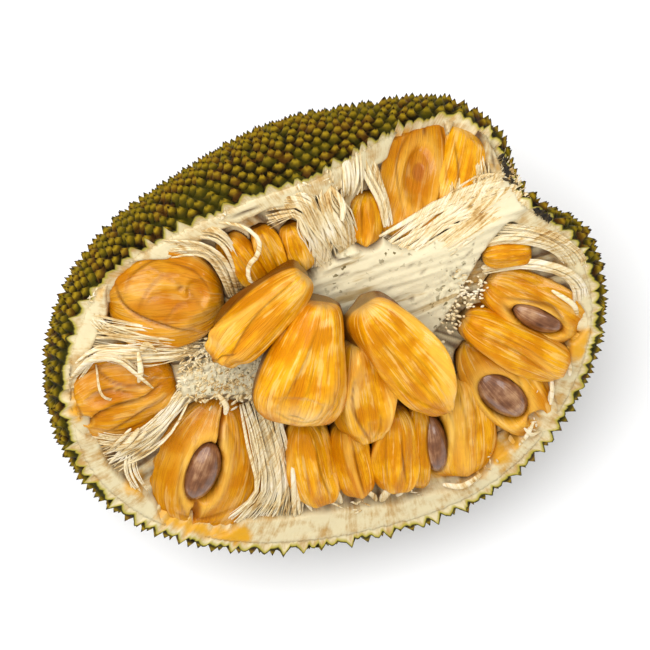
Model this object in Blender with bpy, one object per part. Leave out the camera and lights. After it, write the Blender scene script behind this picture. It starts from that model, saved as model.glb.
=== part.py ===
"""A cut-open jackfruit that lies on its skin, with its cut face leaning forward.

All lengths are metres.  The fruit is drawn in its own frame: X runs along the core towards the
stalk, Z points out of the cut face, and the origin is the middle of the whole fruit.  One empty
carries that frame.  It leans the cut face forward and lifts the fruit onto its resting spot.

The rind, the white flesh and the core grew as one body, the husk.  The fleshy bulbs and the
seeds are separate pieces that sit in pockets of it, and four loose bulbs lie on the cut face.
"""
import math

import bmesh
import bpy
from mathutils import Matrix, Vector

MM = 0.001

# --- driving dimensions ---------------------------------------------------------------------
HALF_LENGTH = 150 * MM          # half of the whole fruit, out to the tips of its spikes
HALF_WIDTH = 116 * MM
STALK_DIRECTION = Vector((140, 36, -21)).normalized()
DIMPLE_RUN = Vector((0, 0.51, 0.86))    # the dimple around the stalk is longest this way
STALK_DIMPLE = 0.17             # share of the radius that the skin draws in there
DIMPLE_HALF_LENGTH = math.radians(15)
DIMPLE_HALF_WIDTH = math.radians(8)
# where the skin swells (or sinks, if less than 0): towards, share of the radius, spread
SWELLINGS = (
    (Vector((101, 83, -48)).normalized(), 0.078, math.radians(13.5)),   # the shoulder by the stalk
    (Vector((58, -104, 28)).normalized(), 0.06, math.radians(27)),
    (Vector((-45, 95, -57)).normalized(), -0.05, math.radians(22)),
)

CUT_HEIGHT = 28 * MM            # the knife passed this far above the middle
TAIL_DIP = 15 * MM              # the cut face sags at the upper rim towards the tail
TAIL_DIP_AT = -105 * MM
TAIL_DIP_SPREAD = 45 * MM
SHOULDER_DROP = 54 * MM         # and falls away over the shoulder beside the stalk
SHOULDER_DROP_FROM = 15 * MM
SHOULDER_DROP_RUN = 90 * MM
STEEPEST_RUN = 14 * MM

LEAN = math.radians(38)         # the cut face leans this far forward from level
REST_DEPTH = 5 * MM             # the skin is flattened this much where the fruit rests
GAP = 0.4 * MM                  # between pieces that touch

CUTTER_STEP = 13 * MM           # mesh size of the dipping cut
CUTTER_TOP = 1.2 * HALF_WIDTH

# --- colours, roughness and metallic value ---------------------------------------------------
HUSK_FINISH = ((0.30, 0.27, 0.06), 0.75)
FLESH_FINISH = ((0.91, 0.46, 0.03), 0.35)
SEED_FINISH = ((0.24, 0.15, 0.11), 0.40)

# --- bulbs that still sit in their pockets, in millimetres -----------------------------------
# name: (base X, Y), (tip X, Y), width, thickness, depth of the axis below the cut, sideways
# bend, and whether the knife opened the bulb, so that its top is level with the cut face
SEATED_BULBS = {
    "bulb_tail_folded": ((-80, 16), (-136, 21), 46, 34, 6, 0, True),
    "bulb_upper_opened": ((-44, 52), (-100, 68), 54, 38, 6, 0, True),
    "bulb_upper_slim_1": ((-22, 53), (-31, 88), 16, 24, 6, 0, False),
    "bulb_upper_slim_2": ((-10, 54), (-14, 87), 14, 22, 6, 0, False),
    "bulb_upper_slim_3": ((2, 56), (1, 83), 13, 20, 6, 0, False),
    "bulb_deep_small": ((35, 57), (44, 80), 18, 22, 8, 0, False),
    "bulb_shoulder_pitted": ((57, 59), (84, 91), 37, 34, 6, 0, True),
    "bulb_shoulder_neighbour": ((78, 56), (104, 75), 20, 26, 5, 0, False),
    "bulb_stalk_small": ((90, 30), (115, 24), 14, 20, 5, 0, False),
    "bulb_stalk_arched": ((84, 9), (122, -37), 30, 30, 5, 7, True),
    "bulb_stalk_whole": ((70, -2), (112, -50), 23, 30, 3, 3, False),
    "bulb_side_hooked": ((63, -20), (88, -85), 36, 34, 5, 7, True),
    "bulb_low_seeded": ((50, -34), (44, -96), 40, 36, 4, 5, True),
    "bulb_low_thin_1": ((31, -43), (20, -92), 13, 24, 6, 4, False),
    "bulb_low_1": ((21, -38), (8, -87), 24, 30, 3, 2, False),
    "bulb_low_2": ((-6, -40), (-9, -84), 21, 28, 5, 0, False),
    "bulb_low_thin_2": ((-17, -36), (-23, -81), 12, 22, 8, 0, False),
    "bulb_low_3": ((-25, -30), (-33, -81), 25, 30, 5, 0, False),
    "bulb_low_split": ((-62, -4), (-97, -76), 56, 42, 6, 0, True),
}

# seeds that show in opened bulbs: (end X, Y), (end X, Y), width, thickness, depth of the axis
SEEDS = {
    "seed_stalk": ((98, -5), (119, -26), 15, 14, 3),
    "seed_side": ((70, -37), (86, -69), 20, 17, 3),
    "seed_low": ((38, -52), (34, -86), 16, 17, 3),
    "seed_tail": ((-74, -24), (-94, -53), 20, 17, 3),
}

# hollows that a seed or the knife left empty, given in the same way as the seeds
HOLLOWS = {
    "bulb_shoulder_pitted": ((68, 66), (79, 84), 17, 18, 2),
    "bulb_upper_opened": ((-57, 57), (-88, 65), 26, 16, 0),
    "bulb_tail_folded": ((-94, 16), (-128, 19), 16, 18, 0),
}

# loose bulbs on the cut face: (base X, Y, Z), (tip X, Y, Z), width, thickness
LOOSE_BULBS = {
    "loose_bulb_left": ((0, 65, 42), (-56, 33, 42), 31, 27),
    "loose_bulb_middle": ((8, 45, 45), (-33, -13, 48), 48, 34),
    "loose_bulb_right": ((24, 37, 44), (47, -41, 41), 35, 30),
    "loose_bulb_under": ((15, 14, 33), (4, -50, 33), 34, 26),
}


# --- the fruit's form ------------------------------------------------------------------------
def smooth_step(value):
    """0 below 0, 1 above 1, and an even S between them."""
    t = min(1.0, max(0.0, value))
    return t * t * (3 - 2 * t)


def skin_radius(direction):
    """Distance from the middle of the fruit to its spike tips, along a unit vector."""
    x, y, z = direction
    radius = 1 / math.sqrt((x / HALF_LENGTH) ** 2 + (y * y + z * z) / HALF_WIDTH ** 2)
    along_dimple = (DIMPLE_RUN - STALK_DIRECTION * DIMPLE_RUN.dot(STALK_DIRECTION)).normalized()
    along = math.asin(direction.dot(along_dimple)) / DIMPLE_HALF_LENGTH
    across = math.asin(direction.dot(STALK_DIRECTION.cross(along_dimple))) / DIMPLE_HALF_WIDTH
    near_stalk = direction.dot(STALK_DIRECTION) > 0
    dimple = STALK_DIMPLE * near_stalk * math.exp(-along ** 2 - across ** 2)
    swelling = sum(share * math.exp(-(direction.angle(towards) / spread) ** 2)
                   for towards, share, spread in SWELLINGS)
    return radius * (1 - dimple + swelling)


def core_line(x):
    """Y of the middle of the core, which curves up to the stalk."""
    return 24 * MM + 0.15 * x + 0.8 * x * x


def cut_height(x, y):
    """Z of the cut face: level below the core, and dipping towards the upper rim."""
    tail = TAIL_DIP * math.exp(-((x - TAIL_DIP_AT) / TAIL_DIP_SPREAD) ** 2)
    drop = SHOULDER_DROP * smooth_step((x - SHOULDER_DROP_FROM) / SHOULDER_DROP_RUN)
    rim = HALF_WIDTH * math.sqrt(max(0.0, 1 - (x / HALF_LENGTH) ** 2))
    across = (y - core_line(x)) / max(STEEPEST_RUN, rim - core_line(x))
    return CUT_HEIGHT - (tail + drop) * smooth_step(across)


# --- building blocks -------------------------------------------------------------------------
def clear_scene():
    for old in list(bpy.data.objects):
        bpy.data.objects.remove(old, do_unlink=True)


def make_collection(name):
    collection = bpy.data.collections.new(name)
    bpy.context.scene.collection.children.link(collection)
    return collection


def make_material(name, finish):
    colour, roughness = finish
    material = bpy.data.materials.new(name)
    material.use_nodes = True
    shader = material.node_tree.nodes["Principled BSDF"]
    shader.inputs["Base Color"].default_value = (*colour, 1)
    shader.inputs["Roughness"].default_value = roughness
    shader.inputs["Metallic"].default_value = 0
    return material


def make_object(name, bm, collection, parent=None, material=None):
    mesh = bpy.data.meshes.new(name)
    bmesh.ops.recalc_face_normals(bm, faces=bm.faces)
    bm.to_mesh(mesh)
    bm.free()
    mesh.shade_smooth()
    if material:
        mesh.materials.append(material)
    shape = bpy.data.objects.new(name, mesh)
    shape.parent = parent
    collection.objects.link(shape)
    return shape


def make_cutter(name, bm, parent=None):
    cutter = make_object(name, bm, cutters, parent)
    cutter.hide_render = True
    cutter.display_type = "WIRE"
    return cutter


def cut_away(target, cutter):
    boolean = target.modifiers.new("cut " + cutter.name, "BOOLEAN")
    boolean.operation = "DIFFERENCE"
    boolean.solver = "EXACT"
    boolean.object = cutter


def place_along(shape, base, tip):
    """Put a piece between two points, its X along them and its Z nearest to the face's."""
    along = (tip - base).normalized()
    side = Vector((0, 0, 1)).cross(along).normalized()
    turn = Matrix((along, side, along.cross(side))).transposed()
    shape.matrix_local = Matrix.Translation((base + tip) / 2) @ turn.to_4x4()


def sphere_along_x(segments, rings):
    bm = bmesh.new()
    bmesh.ops.create_uvsphere(bm, u_segments=segments, v_segments=rings, radius=1)
    bmesh.ops.rotate(bm, verts=bm.verts, matrix=Matrix.Rotation(math.pi / 2, 3, "Y"))
    return bm


def bulb_mesh(length, width, thickness, bend=0.0, swell=0.0):
    """A plump bulb: narrower at its base, fullest past the middle, with blunt ends."""
    bm = sphere_along_x(12, 8)
    for vert in bm.verts:
        x, y, z = vert.co
        fullness = 0.84 + 0.16 * math.sin(math.pi * (0.25 + 0.35 * x))
        blunt = max(1e-6, math.hypot(y, z)) ** -0.4
        vert.co.x = x * (length / 2 + swell)
        vert.co.y = y * blunt * (fullness * width / 2 + swell) + bend * (1 - x * x)
        vert.co.z = z * blunt * (fullness * thickness / 2 + swell)
    return bm


def seed_mesh(length, width, thickness, swell=0.0):
    bm = sphere_along_x(10, 7)
    half_sizes = Vector((length, width, thickness)) / 2 + Vector((swell, swell, swell))
    bmesh.ops.scale(bm, verts=bm.verts, vec=half_sizes)
    return bm


def on_face(point, depth):
    """A point given by X and Y in millimetres, as deep below the cut face as asked."""
    x, y = point[0] * MM, point[1] * MM
    return Vector((x, y, cut_height(x, y) - depth * MM))


# --- cutters that the fruit as a whole needs -------------------------------------------------
def make_face_cutter():
    """Everything above the cut face: a level sheet that is moulded to it, raised to a block."""
    bm = bmesh.new()
    cells_x = round(2.4 * HALF_LENGTH / CUTTER_STEP)
    cells_y = round(2.4 * HALF_WIDTH / CUTTER_STEP)
    bmesh.ops.create_grid(bm, x_segments=cells_x, y_segments=cells_y, size=1)
    bmesh.ops.scale(bm, verts=bm.verts, vec=(1.2 * HALF_LENGTH, 1.2 * HALF_WIDTH, 1))
    floor_verts = list(bm.verts)
    raised = bmesh.ops.extrude_face_region(bm, geom=bm.faces[:])
    roof_verts = [item for item in raised["geom"] if isinstance(item, bmesh.types.BMVert)]
    for vert in floor_verts:
        vert.co.z = cut_height(vert.co.x, vert.co.y)
    for vert in roof_verts:
        vert.co.z = CUTTER_TOP
    return make_cutter("above_the_cut", bm, fruit)


def make_floor_cutter():
    bm = bmesh.new()
    bmesh.ops.create_cube(bm, size=1)
    bmesh.ops.scale(bm, verts=bm.verts, vec=(0.5, 0.5, 0.1))
    bmesh.ops.translate(bm, verts=bm.verts, vec=(0, 0, -0.05))
    return make_cutter("below_the_floor", bm)


# --- the pieces ------------------------------------------------------------------------------
def trim_to_neighbours(shape, home):
    """Cut away what earlier pieces fill.  home is the middle of the piece in the fruit."""
    reach = max(shape.dimensions)
    for cutter, middle, size in pockets:
        if (middle - home).length < (reach + size) / 2:
            cut_away(shape, cutter)


def add_piece(name, base, tip, mesh_maker, material, opened=False):
    """One bulb or seed, with the slightly larger copy of it that cuts its pocket."""
    trimmed = make_object(name, mesh_maker(0.0), parts, fruit, material)
    pocket = make_cutter(name + "_pocket", mesh_maker(GAP), fruit)
    for shape in (trimmed, pocket):
        place_along(shape, base, tip)
    middle = (base + tip) / 2
    trim_to_neighbours(trimmed, middle)
    if opened:
        cut_away(trimmed, face_cutter)
    pockets.append((pocket, middle, max(pocket.dimensions)))
    return trimmed


def add_seeds():
    for name, (start, end, width, thickness, depth) in SEEDS.items():
        base, tip = on_face(start, depth), on_face(end, depth)
        length = (tip - base).length

        def shape(swell, sizes=(length, width * MM, thickness * MM)):
            return seed_mesh(*sizes, swell)

        add_piece(name, base, tip, shape, seed_material)


def add_seated_bulbs():
    for name, (start, end, width, thickness, depth, bend, opened) in SEATED_BULBS.items():
        base, tip = on_face(start, depth), on_face(end, depth)
        length = (tip - base).length

        def shape(swell, sizes=(length, width * MM, thickness * MM, bend * MM)):
            return bulb_mesh(*sizes, swell)

        bulb = add_piece(name, base, tip, shape, flesh_material, opened)
        if name in HOLLOWS:
            hollow_out(bulb, *HOLLOWS[name])


def hollow_out(bulb, start, end, width, thickness, depth):
    base, tip = on_face(start, depth), on_face(end, depth)
    bm = seed_mesh((tip - base).length, width * MM, thickness * MM)
    cutter = make_cutter(bulb.name + "_hollow", bm, fruit)
    place_along(cutter, base, tip)
    cut_away(bulb, cutter)


def add_loose_bulbs():
    for name, (start, end, width, thickness) in LOOSE_BULBS.items():
        base, tip = Vector(start) * MM, Vector(end) * MM
        length = (tip - base).length

        def shape(swell, sizes=(length, width * MM, thickness * MM, 0.0)):
            return bulb_mesh(*sizes, swell)

        add_piece(name, base, tip, shape, flesh_material)


def add_husk():
    """Rind, white flesh and core in one body, cut open, with a pocket for every piece."""
    bm = sphere_along_x(40, 22)
    for vert in bm.verts:
        direction = vert.co.normalized()
        vert.co = direction * skin_radius(direction)
    husk = make_object("husk", bm, parts, fruit, husk_material)
    cut_away(husk, face_cutter)
    cut_away(husk, floor_cutter)
    for cutter, _, _ in pockets:
        cut_away(husk, cutter)


def centre_over_origin():
    """Shift the fruit so that the origin is under the middle of its bounding box."""
    bpy.context.view_layer.update()
    graph = bpy.context.evaluated_depsgraph_get()
    corners = []
    for shape in parts.objects:
        solid = shape.evaluated_get(graph)
        corners += [solid.matrix_world @ vert.co for vert in solid.data.vertices]
    for axis in (0, 1):
        low = min(corner[axis] for corner in corners)
        high = max(corner[axis] for corner in corners)
        fruit.location[axis] -= (low + high) / 2


clear_scene()
parts = make_collection("jackfruit")
cutters = make_collection("cutters")
husk_material = make_material("husk", HUSK_FINISH)
flesh_material = make_material("bulb_flesh", FLESH_FINISH)
seed_material = make_material("seed_coat", SEED_FINISH)

fruit = bpy.data.objects.new("fruit_frame", None)
fruit.location = (0, 0, HALF_WIDTH - REST_DEPTH)
fruit.rotation_euler = (LEAN, 0, 0)
bpy.context.scene.collection.objects.link(fruit)

pockets = []
face_cutter = make_face_cutter()
floor_cutter = make_floor_cutter()
add_seeds()
add_seated_bulbs()
add_loose_bulbs()
add_husk()
centre_over_origin()
bpy.context.view_layer.update()
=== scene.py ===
# %% [markdown]
# # A cut-open jackfruit
#
# A jackfruit is a thick spiny rind around a white core. Golden bulbs of flesh, each with a seed,
# sit between them in a bed of white fibres. This script dresses a plain solid model of one that was
# cut lengthwise and leans its cut face forward. Four of its bulbs lie loose on that face.
#
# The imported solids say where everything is, so they are loaded first and stay untouched.
# %% Load the frame
import math
import random

import bmesh
import bpy
import numpy as np
from mathutils import Matrix, Vector, kdtree, noise


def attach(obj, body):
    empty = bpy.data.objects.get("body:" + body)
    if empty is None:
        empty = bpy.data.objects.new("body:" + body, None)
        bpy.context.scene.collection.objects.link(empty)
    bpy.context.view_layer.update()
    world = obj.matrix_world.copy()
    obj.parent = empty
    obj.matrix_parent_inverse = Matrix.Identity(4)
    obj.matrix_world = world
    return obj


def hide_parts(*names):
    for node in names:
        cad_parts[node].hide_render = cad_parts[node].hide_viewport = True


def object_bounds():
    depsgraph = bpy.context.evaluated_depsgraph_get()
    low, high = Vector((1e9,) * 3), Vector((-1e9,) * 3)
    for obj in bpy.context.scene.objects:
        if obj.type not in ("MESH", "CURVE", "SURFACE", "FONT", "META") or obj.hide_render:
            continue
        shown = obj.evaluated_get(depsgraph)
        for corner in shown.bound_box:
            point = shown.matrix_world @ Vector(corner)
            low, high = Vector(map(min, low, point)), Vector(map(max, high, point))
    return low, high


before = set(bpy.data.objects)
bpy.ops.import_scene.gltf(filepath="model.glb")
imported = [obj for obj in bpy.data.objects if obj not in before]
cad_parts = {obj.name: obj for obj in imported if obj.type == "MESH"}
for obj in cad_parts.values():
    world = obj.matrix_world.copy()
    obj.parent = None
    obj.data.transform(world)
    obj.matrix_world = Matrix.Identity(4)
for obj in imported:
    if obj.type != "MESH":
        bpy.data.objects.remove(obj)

cad_low, cad_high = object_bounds()
print("solids:", len(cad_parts), "box:", cad_low[:], cad_high[:])

# %% [markdown]
# The fruit is easiest to describe lying square: X along the core from tail to stalk, Z straight
# out of the cut face, the origin in the middle of the whole fruit, and everything in millimetres.
# Three formulas give it its form. `skin` is how far it is from the middle to the skin, just under the
# spike tips: an egg, drawn in around the stalk, with two swellings and one hollow. `core_line`
# is the bent middle of the core. `face_height` is the cut face, which isn't flat: it sags at the upper
# rim towards the tail and falls away over the shoulder. They work on whole arrays at once.
# %% The form of the fruit
MM = 0.001
HALF_LENGTH, HALF_WIDTH = 150.0, 116.0
EGG = np.array((HALF_LENGTH, HALF_WIDTH, HALF_WIDTH))


def smooth(value):
    t = np.clip(value, 0.0, 1.0)
    return t * t * (3 - 2 * t)


def hump(away, spread):
    """1 where away is 0, about a third at the spread on both sides, and next to 0 at twice that."""
    return np.exp(-(away / spread) ** 2)


def unit(points):
    return points / np.maximum(1e-9, np.linalg.norm(points, axis=-1, keepdims=True))


STALK = unit(np.array((140.0, 36.0, -21.0)))
DIMPLE_RUN = unit(np.array((0, 0.51, 0.86)) - STALK * (STALK @ (0, 0.51, 0.86)))
DIMPLE = 0.17               # share of the radius that the skin is drawn in around the stalk
DIMPLE_SPREAD = (15, 8)     # degrees along DIMPLE_RUN and across it
# towards, share of the radius, spread in degrees
SWELLINGS = (((101, 83, -48), 0.078, 13.5), ((58, -104, 28), 0.06, 27), ((-45, 95, -57), -0.05, 22))


def skin(directions):
    x, y, z = directions[..., 0], directions[..., 1], directions[..., 2]
    radius = 1 / np.sqrt((x / HALF_LENGTH) ** 2 + (y * y + z * z) / HALF_WIDTH ** 2)
    along, across = (
        np.degrees(np.arcsin(np.clip(directions @ axis, -1, 1))) / spread
        for axis, spread in zip((DIMPLE_RUN, np.cross(STALK, DIMPLE_RUN)), DIMPLE_SPREAD))
    share = 1 - DIMPLE * (directions @ STALK > 0) * np.exp(-along ** 2 - across ** 2)
    for towards, amount, spread in SWELLINGS:
        away = np.degrees(np.arccos(np.clip(directions @ unit(np.array(towards, float)), -1, 1)))
        share = share + amount * hump(away, spread)
    return radius * share


def core_line(x):
    return 24 + 0.15 * x + 0.0008 * x * x


CUT_HEIGHT = 28         # the knife passed this far above the middle
TAIL_SAG = 15
SHOULDER_DROP = 54


def face_height(x, y):
    sag = TAIL_SAG * hump(x + 105, 45)
    drop = SHOULDER_DROP * smooth((x - 15) / 90)
    rim = HALF_WIDTH * np.sqrt(np.maximum(0.0, 1 - (x / HALF_LENGTH) ** 2))
    across = (y - core_line(x)) / np.maximum(14.0, rim - core_line(x))
    return CUT_HEIGHT - (sag + drop) * smooth(across)


def on_face(x, y, above=0.0):
    x, y = np.asarray(x, float), np.asarray(y, float)
    return np.stack((x, y, face_height(x, y) + above), axis=-1)


SPIKE_HEIGHT = 6.6
FOOT = 4.5      # the spikes' feet lie this far under the smooth skin


def rind_depth(points):
    """How deep a point lies under the foot of the spikes."""
    reach = np.linalg.norm(points, axis=-1)
    return skin(unit(points)) - FOOT - reach


print("cut face above the middle:", face_height(0.0, 100.0), "mm at the rim,",
      round(float(face_height(90.0, 90.0)), 1), "mm over the shoulder")

# %% [markdown]
# FRUIT is the matrix that turns such a drawing into the frame's metres. It leans the cut face
# forward and puts the middle of the fruit where the solids' box says that it is: the tail touches
# the box at one end, the skin touches it behind, and the resting spot is cut 5 mm deep.
# %% The fruit's own frame
RESTING_DEPTH = 5.0
LEAN = math.radians(38)
tilt = Matrix.Rotation(LEAN, 4, "X")
turns = np.linspace(0, 2 * math.pi, 361)[:, None]
slopes = np.linspace(-0.6, 0.6, 61)[None, :]
around = np.stack((
    np.sin(slopes) + 0 * turns, np.cos(slopes) * np.cos(turns), np.cos(slopes) * np.sin(turns)), -1)
backwards = skin(around) * (around @ np.array(tilt.to_3x3())[1])
middle = Vector((cad_low.x + HALF_LENGTH * MM,
                 cad_high.y - backwards.max() * MM,
                 (HALF_WIDTH - RESTING_DEPTH) * MM))
FRUIT = Matrix.Translation(middle) @ tilt @ Matrix.Scale(MM, 4)
INTO_FRUIT = FRUIT.inverted()
print("middle of the fruit:", [round(value, 4) for value in middle])

# %% [markdown]
# Every piece ends the same way. Its drawing is moved into the frame, so that its object can sit
# at the origin, unturned and unscaled. It is smooth-shaded and given its finishes, and the solids it
# stands for are hidden. Nothing may sink into the floor, which presses the lowest spikes flat. `values` are
# numbers that each vertex carries for its material to read.
# %% Finish a piece
def add_object(name, data):
    made = bpy.data.objects.new(name, data)
    bpy.context.scene.collection.objects.link(made)
    return made


def settle(name, bm, finishes, stands_for, values):
    mesh = bpy.data.meshes.new(name)
    bm.transform(FRUIT)
    for vert in bm.verts:
        vert.co.z = max(0.0, vert.co.z)
    bmesh.ops.recalc_face_normals(bm, faces=bm.faces)
    bm.to_mesh(mesh)
    bm.free()
    mesh.shade_smooth()
    for finish in finishes:
        mesh.materials.append(finish)
    for label, numbers in values.items():
        numbers = np.asarray(numbers, dtype=np.float32)
        kind = "FLOAT" if numbers.ndim == 1 else "FLOAT_VECTOR"
        layer = mesh.attributes.new(label, kind, "POINT")
        layer.data.foreach_set("value" if numbers.ndim == 1 else "vector", numbers.ravel())
    piece = add_object(name, mesh)
    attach(piece, "root")
    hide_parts(*stands_for)
    print(name, "has", sum(len(face.vertices) - 2 for face in mesh.polygons), "triangles")


def places(bm):
    return np.array([vert.co[:] for vert in bm.verts])


def move_to(bm, points):
    for vert, point in zip(bm.verts, points):
        vert.co = point


# %% [markdown]
# Materials are written as sums. `Wire` wraps one socket, and adding or multiplying wires adds the
# Math nodes for it. `Finish` is one material, and its `node` method makes every other node: it takes
# the node's type, the settings that must come first, and what its sockets get, by name or number.
# Colours are painted on in layers from the ground up, because that is how one thinks of them: flesh
# first, then its streaks, then its shaded folds. They are written as six hex digits.
# %% Wires and finishes
def rgb(text):
    """Six hex digits as the linear red, green and blue that shaders use."""
    parts = [int(text[at:at + 2], 16) / 255 for at in (0, 2, 4)]
    return tuple(part / 12.92 if part <= 0.04045 else ((part + 0.055) / 1.055) ** 2.4 for part in parts)


class Wire:
    def __init__(self, finish, socket):
        self.finish, self.socket = finish, socket

    def math(self, operation, *values):
        return self.finish.node("ShaderNodeMath", {"operation": operation}, dict(enumerate(values)))

    def __add__(self, other):
        return self.math("ADD", self, other)

    def __sub__(self, other):
        return self.math("SUBTRACT", self, other)

    def __rsub__(self, other):
        return self.math("SUBTRACT", other, self)

    def __mul__(self, other):
        return self.math("MULTIPLY", self, other)

    __radd__ = __add__
    __rmul__ = __mul__

    def rise(self, start, end):
        """0 below start, 1 above end and smooth between them; falls if end is the smaller."""
        sockets = {"Value": self, "From Min": start, "From Max": end}
        return self.finish.node("ShaderNodeMapRange", {"interpolation_type": "SMOOTHSTEP"}, sockets)


class Finish:
    def __init__(self, name):
        self.material = bpy.data.materials.new(name)
        self.material.use_nodes = True
        self.tree = self.material.node_tree
        self.shader = self.tree.nodes["Principled BSDF"]

    def connect(self, socket, value):
        if isinstance(value, Wire):
            self.tree.links.new(value.socket, socket)
        elif socket.type == "RGBA":
            socket.default_value = (*value[:3], 1)
        else:
            socket.default_value = value

    def node(self, kind, settings=None, sockets=None, out=0):
        made = self.tree.nodes.new(kind)
        for key, value in (settings or {}).items():
            if key == "stops":
                ramp = made.color_ramp
                while len(ramp.elements) < len(value):
                    ramp.elements.new(1.0)
                for element, (position, colour) in zip(ramp.elements, value):
                    element.position = position
                    element.color = (*colour, 1)
            else:
                setattr(made, key, value)
        for key, value in (sockets or {}).items():
            self.connect(made.inputs[key], value)
        return Wire(self, made.outputs[out])

    def value(self, label, vector=False):
        """What settle stored on each vertex under this label."""
        out = "Vector" if vector else "Fac"
        return self.node("ShaderNodeAttribute", {"attribute_name": label}, out=out)

    def fruit_place(self):
        """The point's place in the fruit's own frame, in metres."""
        place = self.node("ShaderNodeTexCoord", out="Object")
        return self.node("ShaderNodeMapping", {"vector_type": "TEXTURE"},
                         {"Vector": place, "Location": middle, "Rotation": (LEAN, 0, 0)})

    def stretch(self, vector, scale):
        return self.node("ShaderNodeMapping", sockets={"Vector": vector, "Scale": scale})

    def noise(self, vector, scale, detail=3.0, roughness=0.5, warp=0.0):
        return self.node("ShaderNodeTexNoise", sockets={
            "Vector": vector, "Scale": scale, "Detail": detail, "Roughness": roughness, "Distortion": warp})

    def mix(self, amount, first, second):
        """The first colour, or as much of the second as the amount says. The Mix node has sockets
        for numbers, vectors and colours, and those for colours are numbers 6 and 7, and 2 out."""
        return self.node("ShaderNodeMix", {"data_type": "RGBA"}, {0: amount, 6: first, 7: second}, out=2)

    def layers(self, ground, *coats):
        """The ground with coats of (strength, colour) painted over it in turn."""
        for strength, colour in coats:
            ground = self.mix(strength, ground, rgb(colour))
        return ground

    def ramp(self, value, *stops):
        stops = [(position, rgb(colour)) for position, colour in stops]
        return self.node("ShaderNodeValToRGB", {"stops": stops}, {"Fac": value})

    def bump(self, height, strength, distance):
        return self.node("ShaderNodeBump",
                         sockets={"Height": height, "Strength": strength, "Distance": distance})

    def apply(self, **sockets):
        for key, value in sockets.items():
            self.connect(self.shader.inputs[key.replace("_", " ")], value)
        return self.material


# %% [markdown]
# ## The rind
#
# The skin carries a few thousand blunt spikes, each a low pyramid with five or six sides that meets its
# neighbours in a sharp valley. They could be placed one by one, but then they would overlap or
# leave gaps. Here points are spread evenly over the skin in a golden-angle spiral, the way that
# plants set their buds. A convex hull joins them into triangles, and each vertex of the finer mesh
# rises by how much nearer it is to its own point than to the next one. That makes the valleys fall
# exactly halfway between the points.
# %% Spread the spikes
SPIKE_SPACING = 7.4
PACKING = 0.866     # a spike takes this share of the spacing's square, as discs do side by side
dice = random.Random(7)


def spike_seats():
    x = np.linspace(-1, 1, 4001)
    strips = np.sqrt((1 - x * x) * HALF_LENGTH ** 2 + (x * HALF_WIDTH) ** 2) * HALF_WIDTH
    area = np.concatenate(([0.0], np.cumsum((strips[1:] + strips[:-1]) / 2 * np.diff(x)))) * 2 * math.pi
    count = round(area[-1] / (SPIKE_SPACING ** 2 * PACKING))
    steps = (np.arange(count) + 0.5) / count * area[-1]
    along = np.interp(steps, area, x)
    turn = np.arange(count) * math.pi * (3 - math.sqrt(5))
    ring = np.sqrt(1 - along ** 2)
    even = EGG * np.stack((along, ring * np.cos(turn), ring * np.sin(turn)), 1)
    shove = np.array([[dice.gauss(0, 0.13) for _ in range(3)] for _ in range(count)]) * SPIKE_SPACING
    return unit((even + shove) / EGG) * EGG


seats = spike_seats()
print(len(seats), "spikes on the whole fruit")

# %% Raise the spikes
rind = bmesh.new()
for seat in seats:
    rind.verts.new(seat)
bmesh.ops.convex_hull(rind, input=rind.verts)
bmesh.ops.subdivide_edges(rind, edges=rind.edges, cuts=3, use_grid_fill=True)
lattice = kdtree.KDTree(len(seats))
for index, seat in enumerate(seats):
    lattice.insert(seat, index)
lattice.balance()

points = unit(places(rind) / EGG) * EGG
nearest = [lattice.find_n(point, 2) for point in points]
closeness = np.array([(b[2] - a[2]) / max(1e-6, b[2] + a[2]) for a, b in nearest])
closeness = np.clip(closeness, 0, 1)
owner = [a[1] for a, b in nearest]
stature = np.array([dice.uniform(0.78, 1.05) for _ in seats])[owner]
tone = np.array([dice.uniform(0, 1) for _ in seats])[owner]
spike = 0.8 * closeness ** 0.62 + 0.2 * closeness ** 3      # a blunt pyramid with a fine point
outward = unit(points / EGG ** 2)
foot = unit(points) * (skin(unit(points)) - FOOT)[:, None]
move_to(rind, foot + outward * (spike * stature * SPIKE_HEIGHT)[:, None])
spike_layer, tone_layer = (rind.verts.layers.float.new(name) for name in ("spike", "tone"))
for vert, height, shade in zip(rind.verts, spike, tone):
    vert[spike_layer], vert[tone_layer] = height, shade
print("rind before the cut:", len(rind.faces), "faces")

# %% [markdown]
# The knife's cut isn't flat, but the bisect operator only cuts along a plane. So the whole rind
# is lowered by the height of the cut face, cut at zero and raised again. The open edge is then carried
# inwards in steps, for the width of the rim, and down behind the white flesh, and closed.
# %% Cut the rind open
RIM_STEPS = (0.8, 1.2, 2.0, 3.0, 5.0)
BACK_DEPTH = 25


def lower_by_face(bm, sign):
    heights = places(bm)
    shift = face_height(heights[:, 0], heights[:, 1]) * sign
    for vert, amount in zip(bm.verts, shift):
        vert.co.z += amount


def carry_edge(bm, edges, where):
    """Extrude a loop of edges and move each new vertex to where(vertex); returns the new edges."""
    made = bmesh.ops.extrude_edge_only(bm, edges=edges)["geom"]
    for vert in (item for item in made if isinstance(item, bmesh.types.BMVert)):
        vert.co = where(vert)
    for face in (item for item in made if isinstance(item, bmesh.types.BMFace)):
        face.material_index = 1
    return [item for item in made if isinstance(item, bmesh.types.BMEdge) and len(item.link_faces) == 1]


def inwards(vert, distance):
    return vert.co * max(0.2, 1 - distance / vert.co.length)


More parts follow.
